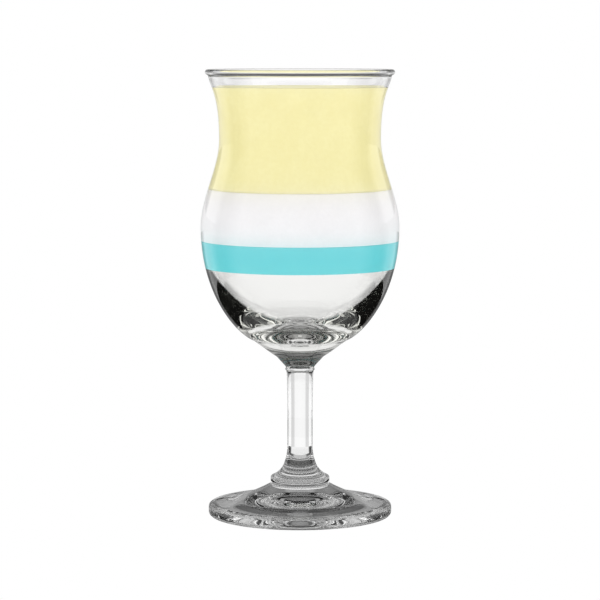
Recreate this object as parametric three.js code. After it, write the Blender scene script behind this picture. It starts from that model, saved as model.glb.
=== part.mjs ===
// A layered blue cocktail in its stemmed hurricane glass, unstirred, filled to just under the rim.
// Millimetres, +Z up. The origin is on the axis, on the plane of the ring that the foot rests on.
// Everything is turned about the Z axis, so each piece is an outline of [radius, height] points.

import * as THREE from "three";

// How finely the turned pieces are cut
const SIDES = 48;

// Space left between one piece and the next
const GAP = 0.3;

// Foot: a disc with a rounded edge, whose top rises ever steeper towards the knop
const FOOT = { radius: 37.0, edgeHeight: 4.8, upperRound: 1.2, lowerRound: 1.75, edgeSlope: 10.7, innerSlope: 29 };

// Underside of the foot: a shallow dome inside a flat rest ring
const HOLLOW = { ringInside: 32.7, height: 4.0, edgeSlope: 6.5, middlePull: 21.2, edgePull: 11.2 };

// Knop: the thick ring between foot and stem
const KNOP = { radius: 11.9, bottom: 12.8, top: 16.1, round: 0.85, shoulderSlope: 21 };

// Stem: a solid rod that widens a little towards both ends
const STEM = { radius: 5.1, flareRadius: 6.3, flareBottom: 21.4, flareTop: 27.5, upperRadius: 5.3, top: 57.6 };

// Collar: the small ring at the stem's top
const COLLAR = { radius: 5.95, bottom: 58.3, top: 60.7, joinRadius: 6.2 };

// Button: the cone that carries the bowl, with an edge a third of the way up
const BUTTON = { edgeRadius: 9.6, edgeHeight: 64.7, radius: 18.8, top: 71.2 };

// Bowl, outside: heights and radii of its base, its widest place, its waist and its flared mouth
const BOWL = {
  baseRadius: 19.1, baseHeight: 71.5, baseSlope: 14.5,
  bellyRadius: 39.9, bellyHeight: 116.8,
  waistRadius: 32.4, waistHeight: 152.2,
  mouthRadius: 36.8, mouthHeight: 177.6, mouthLean: 9,
};

// Rim: the rolled bead on the mouth
const RIM = { beadRadius: 1.15, height: 180.0 };

// Wall of the bowl from the mouth down to the widest place
const WALL = 1.45;

// Inside bottom of the bowl, and how long it keeps to the wall's and the bottom's direction
const CAVITY = { bottom: 73.2, sidePull: 29.2, bottomPull: 16.2 };

// Levels of the drink, from the inside bottom up
const LEVELS = { rumTop: 100.9, curacaoTop: 111.6, creamTop: 132.0, juiceTop: 173.3 };

const COLOURS = {
  glass: 0xf2f6f6,
  rum: 0xf0f2ee,
  curacao: 0x7bdde4,
  cream: 0xf5f6f6,
  juice: 0xfaf5b6,
};

const UP = 90;
const DOWN = -90;
const OUTWARDS = 0;
const INWARDS = 180;

/** A unit step in a direction given in degrees from straight outwards, anticlockwise. */
function heading(degrees) {
  const angle = THREE.MathUtils.degToRad(degrees);
  return new THREE.Vector2(Math.cos(angle), Math.sin(angle));
}

/** A smooth line that leaves one point in a direction and arrives at another in a direction. */
function sweep(from, leaving, leavingPull, to, arriving, arrivingPull) {
  const start = new THREE.Vector2(...from);
  const end = new THREE.Vector2(...to);
  return new THREE.CubicBezierCurve(
    start,
    start.clone().addScaledVector(heading(leaving), leavingPull),
    end.clone().addScaledVector(heading(arriving), -arrivingPull),
    end,
  );
}

/** Points of a round corner. */
function corner(centreRadius, centreHeight, radius, fromDegrees, toDegrees, steps) {
  const clockwise = toDegrees < fromDegrees;
  const arc = new THREE.EllipseCurve(
    centreRadius, centreHeight, radius, radius,
    THREE.MathUtils.degToRad(fromDegrees), THREE.MathUtils.degToRad(toDegrees), clockwise,
  );
  return arc.getPoints(steps);
}

/** Where along it, from 0 to 1, a curve that only rises or only falls passes a height. */
function passing(curve, height) {
  const rising = curve.getPoint(1).y > curve.getPoint(0).y;
  let low = 0;
  let high = 1;
  for (let i = 0; i < 40; i += 1) {
    const middle = (low + high) / 2;
    const above = curve.getPoint(middle).y > height;
    if (above === rising) high = middle;
    else low = middle;
  }
  return low;
}

const bead = { radius: BOWL.mouthRadius + 0.05, height: RIM.height - RIM.beadRadius };

// The bowl's outside, in three smooth stretches going up
const outerLower = sweep(
  [BOWL.baseRadius, BOWL.baseHeight], BOWL.baseSlope, 5, [BOWL.bellyRadius, BOWL.bellyHeight], UP, 28.8,
);
const outerMiddle = sweep(
  [BOWL.bellyRadius, BOWL.bellyHeight], UP, 11.7, [BOWL.waistRadius, BOWL.waistHeight], UP, 11.3,
);
const outerUpper = sweep(
  [BOWL.waistRadius, BOWL.waistHeight], UP, 18.2,
  [BOWL.mouthRadius, BOWL.mouthHeight], UP - BOWL.mouthLean, 4.8,
);

// The bowl's inside, in three stretches going down to the axis
const inside = {
  mouth: BOWL.mouthRadius - WALL,
  waist: BOWL.waistRadius - WALL,
  belly: BOWL.bellyRadius - WALL,
};
const innerUpper = sweep(
  [inside.mouth, BOWL.mouthHeight], DOWN - BOWL.mouthLean, 4.8, [inside.waist, BOWL.waistHeight], DOWN, 18.2,
);
const innerMiddle = sweep(
  [inside.waist, BOWL.waistHeight], DOWN, 11.3, [inside.belly, BOWL.bellyHeight], DOWN, 11.7,
);
const innerLower = sweep(
  [inside.belly, BOWL.bellyHeight], DOWN, CAVITY.sidePull, [0, CAVITY.bottom], INWARDS, CAVITY.bottomPull,
);

/** The inside radius of the bowl at a height. */
function insideRadius(height) {
  const stretch = [innerUpper, innerMiddle, innerLower].find((curve) => height >= curve.getPoint(1).y);
  return stretch.getPoint(passing(stretch, height)).x;
}

/** The outline of the glass, from under the foot's centre round the outside and back down the inside. */
function glassOutline() {
  const { radius, edgeHeight, upperRound, lowerRound } = FOOT;
  const hollow = sweep(
    [0, HOLLOW.height], OUTWARDS, HOLLOW.middlePull, [HOLLOW.ringInside, 0], -HOLLOW.edgeSlope, HOLLOW.edgePull,
  );
  const upperCorner = corner(
    radius - upperRound, edgeHeight - upperRound, upperRound, OUTWARDS, UP - FOOT.edgeSlope, 2,
  );
  const footTop = sweep(
    upperCorner.at(-1).toArray(), INWARDS - FOOT.edgeSlope, 8,
    [KNOP.radius, KNOP.bottom], INWARDS - FOOT.innerSlope, 13.9,
  );
  const knopCorner = corner(
    KNOP.radius - KNOP.round, KNOP.top - KNOP.round, KNOP.round, OUTWARDS, UP - KNOP.shoulderSlope, 2,
  );
  const knopShoulder = sweep(
    knopCorner.at(-1).toArray(), INWARDS - KNOP.shoulderSlope, 2.85,
    [STEM.flareRadius, STEM.flareBottom], 105, 2,
  );
  const stemFoot = sweep(
    [STEM.flareRadius, STEM.flareBottom], 110, 1.8, [STEM.radius, STEM.flareTop], UP, 1.9,
  );
  const buttonCone = sweep(
    [BUTTON.edgeRadius, BUTTON.edgeHeight], 31, 3.2, [BUTTON.radius, BUTTON.top], 33, 3,
  );
  const collarRound = (COLLAR.top - COLLAR.bottom) / 2;
  return [
    ...hollow.getPoints(5),
    ...corner(radius - lowerRound, lowerRound, lowerRound, DOWN, OUTWARDS, 3),
    ...upperCorner,
    ...footTop.getPoints(6).slice(1),
    ...knopCorner,
    ...knopShoulder.getPoints(3).slice(1),
    ...stemFoot.getPoints(3).slice(1),
    new THREE.Vector2(STEM.radius, (STEM.flareTop + STEM.top) / 2 + 4),
    new THREE.Vector2(STEM.upperRadius, STEM.top),
    ...corner(COLLAR.radius - collarRound / 2, COLLAR.bottom + collarRound, collarRound / 2, -70, 70, 2),
    new THREE.Vector2(COLLAR.joinRadius, COLLAR.top + 0.3),
    ...buttonCone.getPoints(4),
    ...outerLower.getPoints(10),
    ...outerMiddle.getPoints(7).slice(1),
    ...outerUpper.getPoints(5).slice(1),
    ...corner(bead.radius, bead.height, RIM.beadRadius, -40, 220, 7),
    ...innerUpper.getPoints(5),
    ...innerMiddle.getPoints(6).slice(1),
    ...innerLower.getPoints(9).slice(1),
  ];
}

/** The outline of a layer of the drink, from its underside's centre round its side to its top's centre. */
function layerOutline(bottom, top, steps) {
  const side = Array.from({ length: steps + 1 }, (_, i) => {
    const height = THREE.MathUtils.lerp(bottom, top, i / steps);
    return new THREE.Vector2(insideRadius(height) - GAP, height);
  });
  return [new THREE.Vector2(0, bottom), ...side, new THREE.Vector2(0, top)];
}

/** The outline of the lowest layer, which fills the round bottom a gap inside it. */
function bottomLayerOutline(top, steps) {
  const level = passing(innerLower, top);
  const side = Array.from({ length: steps - 1 }, (_, i) => {
    const along = THREE.MathUtils.lerp(1, level, (i + 1) / steps);
    const tangent = innerLower.getTangent(along);
    return innerLower.getPoint(along).addScaledVector(new THREE.Vector2(tangent.y, -tangent.x), GAP);
  });
  return [
    new THREE.Vector2(0, CAVITY.bottom + GAP), ...side,
    new THREE.Vector2(insideRadius(top) - GAP, top), new THREE.Vector2(0, top),
  ];
}

/** A solid turned from an outline about the Z axis. */
function turned(name, outline, colour, finish) {
  const geometry = new THREE.LatheGeometry(outline, SIDES);
  geometry.rotateX(Math.PI / 2);
  const mesh = new THREE.Mesh(geometry, new THREE.MeshStandardMaterial({ color: colour, metalness: 0, ...finish }));
  mesh.name = name;
  return mesh;
}

const half = GAP / 2;
const cocktail = new THREE.Group();
cocktail.add(
  turned("glass", glassOutline(), COLOURS.glass, { roughness: 0.02, transparent: true, opacity: 0.35 }),
  turned(
    "white_rum_layer", bottomLayerOutline(LEVELS.rumTop - half, 6), COLOURS.rum,
    { roughness: 0.02, transparent: true, opacity: 0.5 },
  ),
  turned(
    "blue_curacao_layer", layerOutline(LEVELS.rumTop + half, LEVELS.curacaoTop - half, 3), COLOURS.curacao,
    { roughness: 0.1 },
  ),
  turned(
    "coconut_cream_layer", layerOutline(LEVELS.curacaoTop + half, LEVELS.creamTop - half, 4), COLOURS.cream,
    { roughness: 0.3 },
  ),
  turned(
    "pineapple_juice_layer", layerOutline(LEVELS.creamTop + half, LEVELS.juiceTop, 8), COLOURS.juice,
    { roughness: 0.15 },
  ),
);

export default cocktail;
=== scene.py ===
"""A blue cocktail in level layers, unstirred, in a clear stemmed hurricane glass.

The sizes of the turned outlines are in millimetres, and the meshes are in metres.
"""

from __future__ import annotations

import logging
import math
from dataclasses import dataclass
from enum import Enum

import bmesh
import bpy
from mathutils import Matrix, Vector
from mathutils.geometry import interpolate_bezier

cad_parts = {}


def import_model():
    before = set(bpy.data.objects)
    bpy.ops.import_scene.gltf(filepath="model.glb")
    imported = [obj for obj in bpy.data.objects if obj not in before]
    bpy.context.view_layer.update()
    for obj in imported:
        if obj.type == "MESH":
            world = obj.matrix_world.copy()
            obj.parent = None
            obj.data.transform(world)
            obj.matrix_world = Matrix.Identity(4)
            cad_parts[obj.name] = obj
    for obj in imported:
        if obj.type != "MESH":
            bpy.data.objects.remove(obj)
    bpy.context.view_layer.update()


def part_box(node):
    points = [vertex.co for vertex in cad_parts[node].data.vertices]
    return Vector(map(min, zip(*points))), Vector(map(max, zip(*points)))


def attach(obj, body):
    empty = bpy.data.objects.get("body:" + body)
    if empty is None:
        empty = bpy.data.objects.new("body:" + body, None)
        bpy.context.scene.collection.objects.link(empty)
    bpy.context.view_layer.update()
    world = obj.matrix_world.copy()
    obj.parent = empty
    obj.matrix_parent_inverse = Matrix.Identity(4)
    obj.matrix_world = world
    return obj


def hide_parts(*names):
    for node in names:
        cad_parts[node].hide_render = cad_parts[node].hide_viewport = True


log = logging.getLogger("cocktail")

MM = 0.001
BODY = "root"

# Directions of an outline, in degrees from straight outwards, anticlockwise
OUTWARDS = 0.0
UP = 90.0
INWARDS = 180.0
DOWN = -90.0

# Half a turn round the glass, in degrees
HALF_TURN = 180.0

# Sides of every turned piece, so that the rim and the stem look round close up
SIDES = 220

# A corner of an outline that turns more than this is eased, as fire polishing eases it
CREASE_DEGREES = 14.0

# Distances in mm under which two points of an outline, and two corners of a turned mesh, are one
SAME_POINT = 0.01
WELD = 0.001

# A count of bounces is above this if there was any, and crosses the span between none and some
ANY = 0.5
NONE_TO_SOME = (0.4, 0.6)

# The span of a property that is either off or on
OFF_TO_ON = (0.0, 1.0)

# More mirrorings than a path of light can have
MANY_MIRRORINGS = 50.0


def linear(colour: str) -> tuple[float, float, float, float]:
    """Turns an sRGB hex colour into Blender's linear colour.

    Args:
        colour: the colour as "#RRGGBB".

    Returns:
        Red, green, blue and an alpha of 1, linear.
    """
    channels = (int(colour[i:i + 2], 16) / 255 for i in (1, 3, 5))
    red, green, blue = (c / 12.92 if c <= 0.04045 else ((c + 0.055) / 1.055) ** 2.4 for c in channels)
    return red, green, blue, 1.0


def socket(sockets: bpy.types.bpy_prop_collection, name: str | int) -> bpy.types.NodeSocket:
    """Finds a socket by number, by name, or by identifier where several share a name, as on a mix node.

    Args:
        sockets: the node's inputs or outputs.
        name: the socket's number, name or identifier.

    Returns:
        The socket.
    """
    if isinstance(name, str) and name not in sockets:
        return next(s for s in sockets if s.identifier == name)
    return sockets[name]


def add_node(tree: bpy.types.NodeTree, kind: str,
             links: dict[str | int, bpy.types.NodeSocket] | None = None,
             values: dict[str | int, object] | None = None, **settings: object) -> bpy.types.Node:
    """Adds a node with its settings, socket values and incoming links.

    Args:
        tree: the node tree.
        kind: the node's class name, such as "ShaderNodeBump".
        links: the output socket that feeds each named or numbered input.
        values: the value of each named or numbered input.
        **settings: the node's own properties.

    Returns:
        The new node.
    """
    node = tree.nodes.new(kind)
    for name, value in settings.items():
        setattr(node, name, value)
    for name, value in (values or {}).items():
        socket(node.inputs, name).default_value = value
    for name, source in (links or {}).items():
        tree.links.new(source, socket(node.inputs, name))
    return node


def across(tree: bpy.types.NodeTree, factor: bpy.types.NodeSocket, span: tuple[float, float],
           start: bpy.types.NodeSocket | float, end: bpy.types.NodeSocket | float) -> bpy.types.NodeSocket:
    """Goes from one amount to another as a value crosses a span.

    Args:
        tree: the node tree.
        factor: the value.
        span: where the value starts and ends the change.
        start: the first amount, a number or another node's output.
        end: the second amount.

    Returns:
        The output that gives the amount.
    """
    ends = {"To Min": start, "To Max": end}
    linked = {name: value for name, value in ends.items() if not isinstance(value, float)}
    values = {name: value for name, value in ends.items() if isinstance(value, float)}
    values.update({"From Min": span[0], "From Max": span[1]})
    return add_node(tree, "ShaderNodeMapRange", {"Value": factor, **linked}, values).outputs["Result"]


def empty_material(name: str) -> tuple[bpy.types.Material, bpy.types.NodeTree, bpy.types.Node]:
    """Makes a material that holds only its output node.

    Args:
        name: the material's name.

    Returns:
        The material, its node tree and the output node.
    """
    material = bpy.data.materials.new(name)
    material.use_nodes = True
    tree = material.node_tree
    tree.nodes.clear()
    return material, tree, add_node(tree, "ShaderNodeOutputMaterial")


def leave_out_liquids(tree: bpy.types.NodeTree, output: bpy.types.Node,
                      surface: bpy.types.NodeSocket) -> None:
    """Shows a surface of the studio in and through the glass, but lets the liquids' own light pass it.

    Args:
        tree: the node tree.
        output: the material's output node.
        surface: the surface's shader.
    """
    path = add_node(tree, "ShaderNodeLightPath")
    bounced = add_node(
        tree, "ShaderNodeMath", {0: path.outputs["Diffuse Depth"]}, {1: ANY}, operation="GREATER_THAN",
    )
    clear = add_node(tree, "ShaderNodeBsdfTransparent")
    both = add_node(
        tree, "ShaderNodeMixShader", {0: bounced.outputs["Value"], 1: surface, 2: clear.outputs["BSDF"]},
    )
    tree.links.new(both.outputs["Shader"], output.inputs["Surface"])


class Outline:
    """The outline of a turned piece: points of radius and height in mm, drawn one stretch after another."""

    def __init__(self, radius: float, height: float) -> None:
        """Starts the outline at a point."""
        self.points: list[Vector] = [Vector((radius, height))]

    def line(self, radius: float, height: float) -> Outline:
        """Draws a straight stretch to a point."""
        self.points.append(Vector((radius, height)))
        return self

    def sweep(self, radius: float, height: float, leaving: float, pull: float, arriving: float,
              arriving_pull: float, steps: int) -> Outline:
        """Draws a smooth stretch that leaves and arrives in given directions.

        Args:
            radius: radius of the end point.
            height: height of the end point.
            leaving: direction at the start, in degrees from straight outwards, anticlockwise.
            pull: how far the curve keeps to that direction.
            arriving: direction at the end.
            arriving_pull: how far the curve keeps to the end's direction.
            steps: straight pieces that the curve is drawn with.

        Returns:
            This outline.
        """
        start, end = self.points[-1], Vector((radius, height))
        first, last = heading(leaving) * pull, heading(arriving) * arriving_pull
        self.points += interpolate_bezier(start, start + first, end - last, end, steps + 1)[1:]
        return self

    def arc(self, radius: float, height: float, bend: float, start: float, end: float,
            steps: int) -> Outline:
        """Draws a round corner, with a straight stretch to its start.

        Args:
            radius: radius of the corner's centre.
            height: height of the corner's centre.
            bend: the corner's own radius.
            start: where on the corner it starts, in degrees from straight outwards.
            end: where on the corner it ends.
            steps: straight pieces that the corner is drawn with.

        Returns:
            This outline.
        """
        centre = Vector((radius, height))
        corner = [centre + heading(start + (end - start) * i / steps) * bend for i in range(steps + 1)]
        if (corner[0] - self.points[-1]).length < SAME_POINT:
            corner.pop(0)
        self.points += corner
        return self

    def follow(self, points: list[Vector]) -> Outline:
        """Draws a stretch through points that another outline gives."""
        self.points += points
        return self

    def eased(self, reach: float, share: float = 0.45, fullness: float = 0.6, steps: int = 4) -> Outline:
        """Rounds every crease of the outline a little.

        Args:
            reach: how far from the corner the rounding starts, at most.
            share: how much of the stretch beside the corner it takes, at most.
            fullness: how far the rounding goes into the corner, from 0 to 1.
            steps: straight pieces that the rounding is drawn with.

        Returns:
            A new outline.
        """
        smooth = Outline(*self.points[0])
        for before, corner, after in zip(self.points, self.points[1:], self.points[2:]):
            back, on = before - corner, after - corner
            if math.degrees(math.pi - back.angle(on)) < CREASE_DEGREES:
                smooth.points.append(corner)
                continue
            start = corner + back.normalized() * min(reach, back.length * share)
            end = corner + on.normalized() * min(reach, on.length * share)
            smooth.points += interpolate_bezier(
                start, start.lerp(corner, fullness), end.lerp(corner, fullness), end, steps,
            )
        smooth.points.append(self.points[-1])
        return smooth

    def turned(self, name: str, material: bpy.types.Material) -> bpy.types.Object:
        """Spins the outline about the Z axis into a closed solid.

        Args:
            name: the piece's name.
            material: its material.

        Returns:
            The piece, at the origin, with its place in its mesh.
        """
        bm = bmesh.new()
        verts = [bm.verts.new((p.x * MM, 0.0, p.y * MM)) for p in self.points]
        edges = [bm.edges.new(pair) for pair in zip(verts, verts[1:])]
        bmesh.ops.spin(bm, geom=verts + edges, cent=(0, 0, 0), axis=(0, 0, 1), angle=math.tau,
                       steps=SIDES, use_merge=True)
        bmesh.ops.remove_doubles(bm, verts=bm.verts, dist=WELD * MM)
        bmesh.ops.recalc_face_normals(bm, faces=bm.faces)
        for face in bm.faces:
            face.smooth = True
        mesh = bpy.data.meshes.new(name)
        bm.to_mesh(mesh)
        bm.free()
        mesh.materials.append(material)
        piece = bpy.data.objects.new(name, mesh)
        bpy.context.scene.collection.objects.link(piece)
        return piece


def heading(degrees: float) -> Vector:
    """A unit step in a direction given in degrees from straight outwards, anticlockwise."""
    angle = math.radians(degrees)
    return Vector((math.cos(angle), math.sin(angle)))


def between(points: list[Vector], low: float, high: float) -> list[Vector]:
    """Cuts a stretch of a rising outline at two heights.

    Args:
        points: points of the outline, from low to high.
        low: height of the lower cut.
        high: height of the upper cut.

    Returns:
        The points between the cuts, with a point at each cut.
    """
    def cut(height: float) -> Vector:
        """Finds the outline's point at a height.

        Args:
            height: the height.

        Returns:
            The point, or the outline's end where it doesn't reach the height.
        """
        for below, above in zip(points, points[1:]):
            if below.y <= height <= above.y:
                return below.lerp(above, (height - below.y) / (above.y - below.y))
        return points[0] if height < points[0].y else points[-1]

    clear_of_cuts = 2 * SAME_POINT
    kept = (p for p in points if low + clear_of_cuts < p.y < high - clear_of_cuts)
    return [cut(low), *kept, cut(high)]


@dataclass(frozen=True)
class Foot:
    """Sizes of the foot: a disc whose top rises ever steeper to the knop, over a dome in a rest ring."""

    radius: float = 37.0
    edge_height: float = 4.8
    upper_round: float = 1.2
    lower_round: float = 1.75
    edge_slope: float = 10.7
    inner_slope: float = 29.0
    ring_inside: float = 32.7
    hollow_height: float = 4.0
    hollow_slope: float = 6.5


@dataclass(frozen=True)
class Knop:
    """Sizes of the knop: the thick ring between foot and stem."""

    radius: float = 11.9
    bottom: float = 12.8
    top: float = 16.1
    round: float = 0.85
    shoulder_slope: float = 21.0


@dataclass(frozen=True)
class Stem:
    """Sizes of the stem: a solid rod that widens a little towards both ends, with a small collar on top."""

    radius: float = 5.1
    flare_radius: float = 6.3
    flare_bottom: float = 21.4
    flare_top: float = 27.5
    straight_top: float = 46.55
    upper_radius: float = 5.3
    top: float = 57.6
    collar_radius: float = 5.95
    collar_height: float = 59.5
    collar_round: float = 0.6
    join_radius: float = 6.2
    join_height: float = 61.0


@dataclass(frozen=True)
class Button:
    """Sizes of the button: the cone that carries the bowl."""

    edge_radius: float = 9.6
    edge_height: float = 64.7
    radius: float = 18.8
    top: float = 71.2
    edge_slope: float = 31.0
    top_slope: float = 33.0


@dataclass(frozen=True)
class Bowl:
    """Sizes of the bowl's outside at its base, belly, waist and mouth, and of its wall and cavity."""

    base_radius: float = 19.1
    base_height: float = 71.5
    base_slope: float = 14.5
    belly_radius: float = 39.9
    belly_height: float = 116.8
    waist_radius: float = 32.4
    waist_height: float = 152.2
    mouth_radius: float = 36.8
    mouth_height: float = 177.6
    mouth_lean: float = 9.0
    wall: float = 1.45
    cavity_bottom: float = 73.2


@dataclass(frozen=True)
class Rim:
    """Sizes of the rolled bead on the mouth."""

    bead_radius: float = 1.15
    bead_outwards: float = 0.05
    height: float = 180.0


@dataclass(frozen=True)
class SodaLimeGlass:
    """Soda-lime glass, pressed and fire-polished: clear and bright, faintly wavy in its reflections."""

    tint: str = "#FFFFFF"
    ior: float = 1.52
    roughness: float = 0.0
    wave_length_mm: float = 14.0
    wave_height_mm: float = 0.004
    body_colour: str = "#F0F1EC"
    body_density: float = 1.2

    def material(self) -> bpy.types.Material:
        """Makes the material.

        Returns:
            A refracting glass with a slight grey-green body, as deep glass has.
        """
        material, tree, output = empty_material("Soda-lime glass")
        place = add_node(tree, "ShaderNodeTexCoord")
        waves = add_node(
            tree, "ShaderNodeTexNoise", {"Vector": place.outputs["Object"]},
            {"Scale": 1 / (self.wave_length_mm * MM), "Detail": 1.0, "Roughness": 0.4},
        )
        bump = add_node(
            tree, "ShaderNodeBump", {"Height": waves.outputs["Fac"]},
            {"Strength": 1.0, "Distance": self.wave_height_mm * MM},
        )
        shader = add_node(
            tree, "ShaderNodeBsdfPrincipled", {"Normal": bump.outputs["Normal"]},
            {"Base Color": linear(self.tint), "Roughness": self.roughness, "IOR": self.ior,
             "Transmission Weight": 1.0},
        )
        body = add_node(
            tree, "ShaderNodeVolumeAbsorption", None,
            {"Color": linear(self.body_colour), "Density": self.body_density},
        )
        tree.links.new(shader.outputs["BSDF"], output.inputs["Surface"])
        tree.links.new(body.outputs["Volume"], output.inputs["Volume"])
        return material


@dataclass(frozen=True)
class CloudyLiquid:
    """A cloudy liquid, such as juice, cream or a pigmented liqueur: an even colour with faint clouds.

    Where it lies against the glass it has next to no gloss of its own, because glass and liquid bend light
    almost alike. Where it is seen after a mirroring inside the glass its colour is swapped for a painted
    grey reflection, so that the thick base and the stem stay colourless.
    """

    name: str
    colour: str
    cloud_colour: str
    cloud_mm: float
    pulp_mm: float
    pulp_height_mm: float
    cloud_span: tuple[float, float] = (0.12, 0.42)
    gloss: float = 0.08
    roughness: float = 0.35
    ior: float = 1.35
    # Painted reflection: the grey that replaces the liquid's colour where it is seen after a mirroring
    # inside the glass
    painted_reflection: str = "#585A59"

    def material(self) -> bpy.types.Material:
        """Makes the material.

        Returns:
            A soft opaque colour with clouds, a painted grey reflection after a mirroring, and a fine relief
            of pulp or fat.
        """
        material, tree, output = empty_material(self.name)
        place = add_node(tree, "ShaderNodeTexCoord")
        clouds = add_node(
            tree, "ShaderNodeTexNoise", {"Vector": place.outputs["Object"]},
            {"Scale": 1 / (self.cloud_mm * MM), "Detail": 3.0, "Roughness": 0.55},
        )
        pulp = add_node(
            tree, "ShaderNodeTexNoise", {"Vector": place.outputs["Object"]},
            {"Scale": 1 / (self.pulp_mm * MM), "Detail": 2.0, "Roughness": 0.6},
        )
        both = add_node(
            tree, "ShaderNodeMath", {0: clouds.outputs["Fac"], 1: pulp.outputs["Fac"]}, operation="MULTIPLY",
        )
        between_clouds = across(tree, both.outputs["Value"], self.cloud_span, 0.0, 1.0)
        cloudy = add_node(
            tree, "ShaderNodeMix", {"Factor": between_clouds},
            {"A_Color": linear(self.cloud_colour), "B_Color": linear(self.colour)}, data_type="RGBA",
        )
        # Painted reflection: after a mirroring inside the glass the colour is swapped for the painted grey
        colour = add_node(
            tree, "ShaderNodeMix",
            {"Factor": self.after_mirroring(tree), "A_Color": socket(cloudy.outputs, "Result_Color")},
            {"B_Color": linear(self.painted_reflection)}, data_type="RGBA",
        )
        bump = add_node(
            tree, "ShaderNodeBump", {"Height": pulp.outputs["Fac"]},
            {"Strength": 1.0, "Distance": self.pulp_height_mm * MM},
        )
        shader = add_node(
            tree, "ShaderNodeBsdfPrincipled",
            {"Base Color": socket(colour.outputs, "Result_Color"), "Normal": bump.outputs["Normal"]},
            {"Roughness": self.roughness, "IOR": self.ior, "Specular IOR Level": self.gloss},
        )
        tree.links.new(shader.outputs["BSDF"], output.inputs["Surface"])
        return material

    def after_mirroring(self, tree: bpy.types.NodeTree) -> bpy.types.NodeSocket:
        """Tells a first sight of the liquid after a mirroring from all others.

        Args:
            tree: the node tree.

        Returns:
            1 after a mirroring, where the painted grey reflection takes the liquid's place, and otherwise 0.
        """
        path = add_node(tree, "ShaderNodeLightPath")
        mirrorings = add_node(
            tree, "ShaderNodeMath", {0: path.outputs["Diffuse Depth"], 2: path.outputs["Glossy Depth"]},
            {1: -MANY_MIRRORINGS}, operation="MULTIPLY_ADD",
        )
        painted_reflection = add_node(
            tree, "ShaderNodeMath", {0: mirrorings.outputs["Value"]}, {1: ANY}, operation="GREATER_THAN",
        )
        return painted_reflection.outputs["Value"]


@dataclass(frozen=True)
class ClearSpirit:
    """White rum: a clear colourless spirit, which shows only by a faint tint.

    It doesn't bend what is behind it, so that it can hardly be told from the empty glass.
    """

    tint: str = "#FFFFFD"
    ior: float = 1.0

    def material(self) -> bpy.types.Material:
        """Makes the material.

        Returns:
            A clear liquid.
        """
        material, tree, output = empty_material("White rum")
        shader = add_node(
            tree, "ShaderNodeBsdfPrincipled", None,
            {"Base Color": linear(self.tint), "Roughness": 0.0, "IOR": self.ior, "Transmission Weight": 1.0},
        )
        tree.links.new(shader.outputs["BSDF"], output.inputs["Surface"])
        return material


class Layer(Enum):
    """The layers of the drink, from the bottom up, each by the name of its solid."""

    RUM = "white_rum_layer"
    CURACAO = "blue_curacao_layer"
    CREAM = "coconut_cream_layer"
    JUICE = "pineapple_juice_layer"


FINISHES: dict[Layer, CloudyLiquid | ClearSpirit] = {
    Layer.RUM: ClearSpirit(),
    # Liqueur with a pigment: an even pale turquoise, smooth
    Layer.CURACAO: CloudyLiquid("Blue liqueur", "#7FE0E5", "#7BDDE3", cloud_mm=9.0, pulp_mm=2.0,
                                pulp_height_mm=0.0),
    # Cream pressed from coconut: a neutral white with traces of fat
    Layer.CREAM: CloudyLiquid("Coconut cream", "#F8F7F8", "#F4F3F4", cloud_mm=7.0, pulp_mm=1.2,
                              pulp_height_mm=0.005),
    # Unfiltered juice: pale yellow with fine pulp
    Layer.JUICE: CloudyLiquid("Pineapple juice", "#FAF5C9", "#F6F0C0", cloud_mm=8.0, pulp_mm=1.5,
                              pulp_height_mm=0.01),
}

# The liqueur's underside in painted shade: dark because hardly any light comes up through the base
PAINTED_SHADE_UNDERSIDE = CloudyLiquid("Blue liqueur in painted shade from below", "#2F4447", "#2B4043", cloud_mm=9.0, pulp_mm=2.0,
                         pulp_height_mm=0.0)


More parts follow.
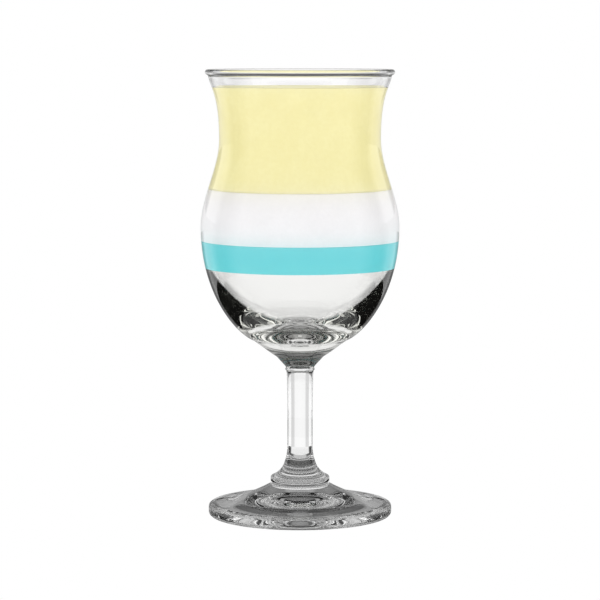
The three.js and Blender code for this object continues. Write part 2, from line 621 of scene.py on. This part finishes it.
@dataclass
class HurricaneGlass:
    """The glass: foot, knop, stem, collar, button, bowl and rolled rim, one piece."""

    foot: Foot = Foot()
    knop: Knop = Knop()
    stem: Stem = Stem()
    button: Button = Button()
    bowl: Bowl = Bowl()
    rim: Rim = Rim()
    crease_reach: float = 0.35

    def inside(self) -> list[Vector]:
        """Draws the inside of the bowl, from the mouth down to the axis.

        Returns:
            The outline's points.
        """
        bowl = self.bowl
        inside = Outline(bowl.mouth_radius - bowl.wall, bowl.mouth_height)
        inside.sweep(bowl.waist_radius - bowl.wall, bowl.waist_height, leaving=DOWN - bowl.mouth_lean,
                     pull=4.8, arriving=DOWN, arriving_pull=18.2, steps=18)
        inside.sweep(bowl.belly_radius - bowl.wall, bowl.belly_height, leaving=DOWN, pull=11.3,
                     arriving=DOWN, arriving_pull=11.7, steps=22)
        inside.sweep(0.0, bowl.cavity_bottom, leaving=DOWN, pull=29.2,
                     arriving=INWARDS, arriving_pull=16.2, steps=84)
        return inside.points

    def outline(self) -> Outline:
        """Draws the glass from under the foot's centre round the outside and back down the inside.

        Returns:
            The outline, with its creases eased.
        """
        line = Outline(0.0, self.foot.hollow_height)
        self.draw_foot(line)
        self.draw_stem(line)
        self.draw_bowl(line)
        return line.follow(self.inside()).eased(self.crease_reach)

    def draw_foot(self, line: Outline) -> None:
        """Draws the hollow under the foot, its rest ring, its edge and its top, up to the knop.

        Args:
            line: the glass's outline, at the middle of the hollow.
        """
        foot, knop = self.foot, self.knop
        line.sweep(foot.ring_inside, 0.0, leaving=OUTWARDS, pull=21.2,
                   arriving=-foot.hollow_slope, arriving_pull=11.2, steps=24)
        line.arc(foot.radius - foot.lower_round, foot.lower_round, foot.lower_round,
                 start=DOWN, end=OUTWARDS, steps=8)
        line.arc(foot.radius - foot.upper_round, foot.edge_height - foot.upper_round, foot.upper_round,
                 start=OUTWARDS, end=UP - foot.edge_slope, steps=7)
        line.sweep(knop.radius, knop.bottom, leaving=INWARDS - foot.edge_slope, pull=8,
                   arriving=INWARDS - foot.inner_slope, arriving_pull=13.9, steps=24)

    def draw_stem(self, line: Outline) -> None:
        """Draws the knop, the stem and its collar.

        Args:
            line: the glass's outline, at the knop's lower edge.
        """
        knop, stem = self.knop, self.stem
        line.arc(knop.radius - knop.round, knop.top - knop.round, knop.round,
                 start=OUTWARDS, end=UP - knop.shoulder_slope, steps=6)
        line.sweep(stem.flare_radius, stem.flare_bottom, leaving=INWARDS - knop.shoulder_slope, pull=2.85,
                   arriving=105, arriving_pull=2, steps=10)
        line.sweep(stem.radius, stem.flare_top, leaving=110, pull=1.8,
                   arriving=UP, arriving_pull=1.9, steps=8)
        line.line(stem.radius, stem.straight_top).line(stem.upper_radius, stem.top)
        line.arc(stem.collar_radius - stem.collar_round, stem.collar_height, stem.collar_round,
                 start=-70, end=70, steps=8)
        line.line(stem.join_radius, stem.join_height)

    def draw_bowl(self, line: Outline) -> None:
        """Draws the button, the bowl's outside and the bead of the rim.

        Args:
            line: the glass's outline, above the collar.
        """
        button, bowl, rim = self.button, self.bowl, self.rim
        line.line(button.edge_radius, button.edge_height)
        line.sweep(button.radius, button.top, leaving=button.edge_slope, pull=3.2,
                   arriving=button.top_slope, arriving_pull=3, steps=10)
        line.line(bowl.base_radius, bowl.base_height)
        line.sweep(bowl.belly_radius, bowl.belly_height, leaving=bowl.base_slope, pull=5,
                   arriving=UP, arriving_pull=28.8, steps=72)
        line.sweep(bowl.waist_radius, bowl.waist_height, leaving=UP, pull=11.7,
                   arriving=UP, arriving_pull=11.3, steps=22)
        line.sweep(bowl.mouth_radius, bowl.mouth_height, leaving=UP, pull=18.2,
                   arriving=UP - bowl.mouth_lean, arriving_pull=4.8, steps=18)
        line.arc(bowl.mouth_radius + rim.bead_outwards, rim.height - rim.bead_radius, rim.bead_radius,
                 start=-40, end=220, steps=20)

    def build(self, finish: SodaLimeGlass) -> bpy.types.Object:
        """Turns the glass and hides its solid.

        Args:
            finish: the glass's finish.

        Returns:
            The glass.
        """
        glass = self.outline().turned("hurricane_glass", finish.material())
        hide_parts("glass")
        return glass


@dataclass
class LayeredDrink:
    """The drink: four level layers that fill the bowl, each reaching just into the wall."""

    glass: HurricaneGlass
    reach: float = 0.05
    meniscus_rise: float = 0.3
    meniscus_width: float = 1.8

    def wall(self) -> list[Vector]:
        """Moves the bowl's inside a little into the glass.

        Returns:
            The moved outline's points, from the bottom up.
        """
        inside = self.glass.inside()
        grown = []
        for before, point, after in zip([inside[0], *inside], inside, [*inside[1:], inside[-1]]):
            along = (after - before).normalized()
            grown.append(point + Vector((-along.y, along.x)) * self.reach)
        grown[-1].x = 0.0
        return grown[::-1]

    def levels(self) -> dict[Layer, tuple[float, float]]:
        """Works out each layer's lower and upper level from the solids.

        Returns:
            The levels in mm. The solids stand a gap apart, and the layers meet halfway.
        """
        boxes = {layer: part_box(layer.value) for layer in Layer}
        tops = {layer: boxes[layer][1].z / MM for layer in Layer}
        bottoms = {layer: boxes[layer][0].z / MM for layer in Layer}
        order = list(Layer)
        for below, above in zip(order, order[1:]):
            middle = (tops[below] + bottoms[above]) / 2
            tops[below] = bottoms[above] = middle
        return {layer: (bottoms[layer], tops[layer]) for layer in Layer}

    def outline(self, layer: Layer, wall: list[Vector], bottom: float, top: float) -> Outline:
        """Draws a layer from the axis along its underside, up the wall and back along its top.

        Args:
            layer: the layer.
            wall: the bowl's inside, from the bottom up.
            bottom: the layer's lower level in mm.
            top: its upper level in mm.

        Returns:
            The outline.
        """
        if layer is Layer.RUM:
            side = between(wall, wall[0].y, top)
            return Outline(*side[0]).follow(side[1:]).line(0.0, top)
        side = between(wall, bottom - self.reach, top)
        line = Outline(0.0, bottom - self.reach).follow(side)
        if layer is Layer.JUICE:
            top -= self.meniscus_rise
            line.sweep(side[-1].x - self.meniscus_width, top, leaving=-110, pull=0.5,
                       arriving=INWARDS, arriving_pull=1.4, steps=8)
        return line.line(0.0, top)

    def paint_underside_shade(self, piece: bpy.types.Object, height: float) -> None:
        """Paints the underside of a layer dark, a painted shade for the little light that comes up through
        the base.

        Args:
            piece: the layer.
            height: height of the underside in mm.
        """
        piece.data.materials.append(PAINTED_SHADE_UNDERSIDE.material())
        for face in piece.data.polygons:
            if face.center.z < (height + SAME_POINT) * MM:
                face.material_index = 1

    def build(self, finishes: dict[Layer, CloudyLiquid | ClearSpirit]) -> list[bpy.types.Object]:
        """Turns the layers and puts each in the place of its solid.

        Args:
            finishes: the finish of each layer.

        Returns:
            The layers, from the bottom up.
        """
        pieces = []
        wall = self.wall()
        for layer, (bottom, top) in self.levels().items():
            name = layer.value.replace("_layer", "")
            piece = self.outline(layer, wall, bottom, top).turned(name, finishes[layer].material())
            # Painted shade: the liqueur's underside gets a dark colour
            if layer is Layer.CURACAO:
                self.paint_underside_shade(piece, bottom - self.reach)
            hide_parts(layer.value)
            pieces.append(piece)
        return pieces


@dataclass(frozen=True)
class Camera:
    """The camera: just above the rim's height, about a metre in front, looking slightly down."""

    distance: float = 1.045
    height: float = 0.191
    down_degrees: float = 5.663
    sensor_mm: float = 36.0
    lens_mm: float = 156.36

    def build(self) -> bpy.types.Object:
        """Makes the camera and gives it to the scene.

        Returns:
            The camera.
        """
        data = bpy.data.cameras.new("Camera")
        data.sensor_width, data.lens = self.sensor_mm, self.lens_mm
        camera = bpy.data.objects.new("Camera", data)
        camera.location = (0.0, -self.distance, self.height)
        # An unturned camera looks straight down
        camera.rotation_euler = (math.radians(UP - self.down_degrees), 0.0, 0.0)
        bpy.context.scene.collection.objects.link(camera)
        bpy.context.scene.camera = camera
        return camera


def ring_place(turn: float, radius: float, height: float) -> tuple[float, float, float]:
    """A place round the glass, in metres.

    Args:
        turn: the turn from straight behind the glass, clockwise seen from above, in radians.
        radius: distance from the axis in mm.
        height: height above the table in mm.

    Returns:
        The place.
    """
    return math.sin(turn) * radius * MM, math.cos(turn) * radius * MM, height * MM


class Seen(Enum):
    """How the glass shows a card of the studio."""

    THROUGH = "through the glass only"
    MIRRORED = "as a reflection only"


@dataclass(frozen=True)
class Card:
    """A pale card of the studio, curved round the glass, lying on the table or standing.

    The two edges are points of radius and height in mm. The lights are pairs of a turn, in degrees from
    straight behind the glass, and the brightness there, and between them the light goes over evenly. The
    card is there on both sides, from the first turn to the last, in flat facets.
    """

    name: str
    lower_edge: tuple[float, float]
    upper_edge: tuple[float, float]
    lights: tuple[tuple[float, float], ...]
    seen: Seen
    facet_degrees: float = 4.0

    def build(self) -> bpy.types.Object:
        """Makes the card, which gives light and isn't seen by the camera itself.

        Returns:
            The card.
        """
        bm = bmesh.new()
        from_turn, to_turn = self.lights[0][0], self.lights[-1][0]
        steps = max(1, round((to_turn - from_turn) / self.facet_degrees))
        for side in (-1, 1):
            turn = math.radians(from_turn) * side
            ends = [bm.verts.new(ring_place(turn, *edge)) for edge in (self.lower_edge, self.upper_edge)]
            bmesh.ops.spin(bm, geom=[*ends, bm.edges.new(ends)], cent=(0, 0, 0), axis=(0, 0, 1),
                           angle=-math.radians(to_turn - from_turn) * side, steps=steps)
        mesh = bpy.data.meshes.new(self.name)
        bm.to_mesh(mesh)
        bm.free()
        mesh.materials.append(self.material())
        card = bpy.data.objects.new(self.name, mesh)
        bpy.context.scene.collection.objects.link(card)
        card.visible_camera = False
        card.visible_transmission = self.seen is Seen.THROUGH
        card.visible_glossy = self.seen is Seen.MIRRORED
        return card

    def brightness(self, tree: bpy.types.NodeTree) -> bpy.types.NodeSocket:
        """Works out the brightness from the turn.

        Args:
            tree: the node tree.

        Returns:
            The brightness as a share of the brightest light.
        """
        place = add_node(tree, "ShaderNodeTexCoord")
        axes = add_node(tree, "ShaderNodeSeparateXYZ", {0: place.outputs["Object"]})
        aside = add_node(tree, "ShaderNodeMath", {0: axes.outputs["X"]}, operation="ABSOLUTE")
        turn = add_node(
            tree, "ShaderNodeMath", {0: aside.outputs["Value"], 1: axes.outputs["Y"]}, operation="ARCTAN2",
        )
        share = across(tree, turn.outputs["Value"], (0.0, math.pi), 0.0, 1.0)
        ramp = add_node(tree, "ShaderNodeValToRGB", {"Fac": share})
        brightest = max(light for _, light in self.lights)
        stops = ramp.color_ramp.elements
        for turned, light in self.lights[1:-1]:
            stops.new(turned / HALF_TURN)
        for stop, (turned, light) in zip(stops, self.lights):
            stop.position = turned / HALF_TURN
            stop.color = (light / brightest, light / brightest, light / brightest, 1.0)
        return ramp.outputs["Color"]

    def material(self) -> bpy.types.Material:
        """Makes the card's light, which leaves the liquids' own even light as it is.

        Returns:
            The material.
        """
        material, tree, output = empty_material(self.name)
        light = add_node(
            tree, "ShaderNodeEmission", {"Color": self.brightness(tree)},
            {"Strength": max(light for _, light in self.lights)},
        )
        leave_out_liquids(tree, output, light.outputs["Emission"])
        return material


# Height of the cards on the table, just under the foot, and distances of the standing ones, in mm
TABLE = -0.1
NEAR = 1500.0
FAR = 3000.0

# What is seen through the glass: the table from the foot outwards, then the standing cards. The table is
# dimmer under the foot and close behind it, and there is no card where the rest ring stands: painted shadow
# of the glass on the table.
THROUGH_CARDS = (
    Card("painted shadow under the foot", (0.5, TABLE), (20.0, TABLE),
         ((0, 0.06), (180, 0.06)), Seen.THROUGH),
    Card("painted shadow under the hollow's edge", (20.0, TABLE), (26.0, TABLE),
         ((0, 0.15), (180, 0.15)), Seen.THROUGH),
    Card("light inside the rest ring", (26.0, TABLE), (32.0, TABLE),
         ((0, 0.55), (30, 0.5), (38, 0.25), (58, 0.25), (64, 0.45), (180, 0.35)), Seen.THROUGH),
    Card("light outside the rest ring", (35.0, TABLE), (42.0, TABLE),
         ((0, 0.32), (17, 0.34), (24, 0.58), (60, 0.6), (180, 1.2)), Seen.THROUGH),
    Card("light past the rest ring", (42.0, TABLE), (46.0, TABLE),
         ((0, 0.6), (60, 0.6), (180, 1.2)), Seen.THROUGH),
    Card("table close to the foot with painted shadow", (46.0, TABLE), (60.0, TABLE),
         ((0, 0.5), (16, 0.5), (22, 0.1), (55, 0.1), (65, 1.15), (180, 1.15)), Seen.THROUGH),
    Card("table near the foot with painted shadow", (60.0, TABLE), (150.0, TABLE),
         ((0, 0.85), (30, 0.85), (36, 0.05), (55, 0.05), (65, 1.2), (180, 1.2)), Seen.THROUGH),
    Card("table behind", (150.0, TABLE), (NEAR, TABLE),
         ((0, 0.95), (16, 0.93), (20, 0.66), (31, 0.66), (35, 1.05), (58, 1.05), (62, 0.0)), Seen.THROUGH),
    Card("table in front", (150.0, TABLE), (250.0, TABLE),
         ((62, 0.45), (180, 0.45)), Seen.THROUGH),
    Card("table past the grid", (255.0, TABLE), (NEAR, TABLE),
         ((62, 1.0), (180, 1.0)), Seen.THROUGH),
    Card("far table past the grid", (FAR, -180.0), (FAR, 260.0),
         ((58, 1.0), (180, 1.0)), Seen.THROUGH),
    Card("low screen past the grid", (NEAR, 170.0), (NEAR, 330.0),
         ((58, 0.9), (180, 0.9)), Seen.THROUGH),
    Card("far table behind", (FAR, -180.0), (FAR, 90.0),
         ((0, 0.9), (16, 0.88), (20, 0.66), (31, 0.66), (35, 0.95), (57, 0.95)), Seen.THROUGH),
    Card("strip behind", (FAR, 90.0), (FAR, 260.0),
         ((0, 1.0), (16, 1.0), (20, 0.6), (31, 0.6), (35, 0.3), (57, 0.3)), Seen.THROUGH),
    Card("low screen behind", (NEAR, 170.0), (NEAR, 490.0),
         ((0, 0.35), (9, 0.4), (12, 0.25), (30, 0.25), (34, 0.0)), Seen.THROUGH),
    Card("screen behind", (NEAR, 700.0), (NEAR, 960.0),
         ((0, 0.1), (16, 0.15), (20, 0.4), (42, 0.4)), Seen.THROUGH),
    Card("high screen behind", (NEAR, 960.0), (NEAR, 2010.0),
         ((0, 0.2), (18, 0.15), (21, 0.0)), Seen.THROUGH),
    Card("softboxes", (NEAR, 700.0), (NEAR, 1350.0),
         ((42, 0.4), (46, 1.2), (57, 1.2), (60, 0.5), (67, 0.5)), Seen.THROUGH),
    Card("high softboxes", (NEAR, 1350.0), (NEAR, 2010.0),
         ((33, 0.25), (44, 0.25), (58, 1.0), (80, 1.2)), Seen.THROUGH),
    Card("inner edge of the softboxes", (NEAR, 960.0), (NEAR, 1350.0),
         ((33, 0.25), (42, 0.35)), Seen.THROUGH),
    Card("light over the camera", (NEAR, 960.0), (NEAR, 1350.0),
         ((105, 1.3), (180, 1.3)), Seen.THROUGH),
)

# What the glass mirrors, with one even brightness in front
MIRRORED_CARDS = (
    Card("table close all round", (46.0, TABLE), (110.0, TABLE),
         ((0, 0.4), (84, 0.4), (106, 1.15), (180, 1.15)), Seen.MIRRORED),
    Card("near table all round", (110.0, TABLE), (300.0, TABLE),
         ((0, 0.35), (28, 0.35), (34, 0.0), (84, 0.0), (106, 1.15), (180, 1.15)), Seen.MIRRORED),
    Card("table all round", (300.0, TABLE), (NEAR, TABLE),
         ((0, 0.2), (26, 0.25), (34, 0.9), (56, 0.9), (70, 0.2), (84, 0.2), (106, 1.15),
          (180, 1.15)), Seen.MIRRORED),
    Card("far table all round", (FAR, -180.0), (FAR, 260.0),
         ((0, 0.5), (34, 0.8), (56, 0.8), (72, 0.0), (84, 0.0), (106, 1.15),
          (180, 1.15)), Seen.MIRRORED),
    Card("high screens all round", (NEAR, 490.0), (NEAR, 1400.0),
         ((0, 0.08), (18, 0.08), (24, 0.3), (34, 0.3), (40, 1.1), (62, 1.1), (74, 0.0), (84, 0.0),
          (106, 1.1), (180, 1.1)), Seen.MIRRORED),
    Card("screens all round", (NEAR, 170.0), (NEAR, 490.0),
         ((0, 0.5), (20, 0.3), (34, 0.3), (40, 1.1), (62, 1.1), (74, 0.0), (84, 0.0), (106, 1.1),
          (180, 1.1)), Seen.MIRRORED),
)


@dataclass(frozen=True)
class LightGrid:
    """A grid of thin dark fins that point at the glass's axis, at its sides and in front, as on a softbox.

    Light comes past it only close to the axis, so that the clear parts are bright from every side and the
    edges of the bowl stay dark. The sizes are in mm, the reach is how far beside the axis light still comes,
    and the glimmer is what the matt black still gives back.
    """

    radius: float = 250.0
    height: float = 150.0
    from_turn: float = 58.0
    spacing_degrees: float = 0.06
    reach: float = 23.0
    glimmer: float = 0.006

    def build(self) -> bpy.types.Object:
        """Makes the fins, which only the light seen through the glass meets.

        Returns:
            The grid.
        """
        # Light at the reach beside the axis turns by one spacing on its way past a fin
        outer = 1 / (1 / self.radius - math.radians(self.spacing_degrees) / self.reach)
        corners = ((self.radius, 0.0), (outer, 0.0), (outer, self.height), (self.radius, self.height))
        # Each fin is placed by itself, because thousands of turned copies would drift off the axis
        bm = bmesh.new()
        for i in range(round(2 * (HALF_TURN - self.from_turn) / self.spacing_degrees) + 1):
            turn = math.radians(self.from_turn + self.spacing_degrees * i)
            bm.faces.new([bm.verts.new(ring_place(turn, *corner)) for corner in corners])
        mesh = bpy.data.meshes.new("light_grid")
        bm.to_mesh(mesh)
        bm.free()
        mesh.materials.append(self.material())
        grid = bpy.data.objects.new("light_grid", mesh)
        bpy.context.scene.collection.objects.link(grid)
        grid.visible_camera = grid.visible_diffuse = grid.visible_glossy = grid.visible_shadow = False
        return grid

    def material(self) -> bpy.types.Material:
        """Makes the fins' matt black, whose own light is the glimmer.

        Returns:
            The material.
        """
        material, tree, output = empty_material("Black matt fins")
        black = add_node(
            tree, "ShaderNodeEmission", None, {"Color": linear("#FFFFFF"), "Strength": self.glimmer},
        )
        leave_out_liquids(tree, output, black.outputs["Emission"])
        return material


@dataclass(frozen=True)
class Studio:
    """The studio: a dark room with pale cards round the glass, which draw its edges and thick parts.

    The light on the liquids is even, and weaker from straight below and from above. The spans say where it
    changes, as shares of the way down or up.
    """

    cards: tuple[Card, ...] = THROUGH_CARDS + MIRRORED_CARDS
    grid: LightGrid = LightGrid()
    backdrop: float = 1.0
    dark: float = 0.01
    drink_light: float = 1.5
    light_from_below: float = 0.4
    below_span: tuple[float, float] = (-0.95, -0.5)
    light_from_above: float = 0.75
    above_span: tuple[float, float] = (0.4, 0.9)

    def room(self) -> bpy.types.World:
        """Makes the room: dark in the glass, white behind it for the camera, and even on the liquids.

        Returns:
            The room.
        """
        world = bpy.data.worlds.new("Studio")
        world.use_nodes = True
        tree = world.node_tree
        tree.nodes.clear()
        output = add_node(tree, "ShaderNodeOutputWorld")
        path = add_node(tree, "ShaderNodeLightPath")
        place = add_node(tree, "ShaderNodeTexCoord")
        up = add_node(tree, "ShaderNodeSeparateXYZ", {0: place.outputs["Generated"]}).outputs["Z"]
        low = across(tree, up, self.below_span, self.light_from_below, self.drink_light)
        even = across(tree, up, self.above_span, low, self.light_from_above)
        glass = across(tree, path.outputs["Diffuse Depth"], NONE_TO_SOME, self.dark, even)
        strength = across(tree, path.outputs["Is Camera Ray"], OFF_TO_ON, glass, self.backdrop)
        shader = add_node(
            tree, "ShaderNodeBackground", {"Strength": strength}, {"Color": linear("#FFFFFF")},
        )
        tree.links.new(shader.outputs["Background"], output.inputs["Surface"])
        bpy.context.scene.world = world
        return world

    def light_paths(self) -> None:
        """Lets light cross the many faces of thick glass, and shows colours as they are."""
        scene = bpy.context.scene
        cycles = scene.cycles
        cycles.max_bounces = 40
        cycles.transmission_bounces = 40
        cycles.glossy_bounces = 24
        cycles.diffuse_bounces = 3
        cycles.volume_bounces = 0
        cycles.transparent_max_bounces = 16
        cycles.caustics_reflective = True
        cycles.caustics_refractive = True
        cycles.blur_glossy = 0.0
        cycles.sample_clamp_indirect = 0.0
        cycles.use_denoising = True
        scene.view_settings.view_transform = "Standard"
        scene.view_settings.look = "None"

    def build(self) -> None:
        """Makes the cards, the grid, the room and the settings of the light."""
        for card in self.cards:
            card.build()
        self.grid.build()
        self.room()
        self.light_paths()


def main() -> None:
    """Builds the studio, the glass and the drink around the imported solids."""
    logging.basicConfig(level=logging.INFO, format="%(message)s")
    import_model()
    Camera().build()
    Studio().build()

    glass = HurricaneGlass()
    for piece in [glass.build(SodaLimeGlass()), *LayeredDrink(glass).build(FINISHES)]:
        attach(piece, BODY)
        log.info("%s: %d faces", piece.name, len(piece.data.polygons))


if __name__ == "__main__":
    main()
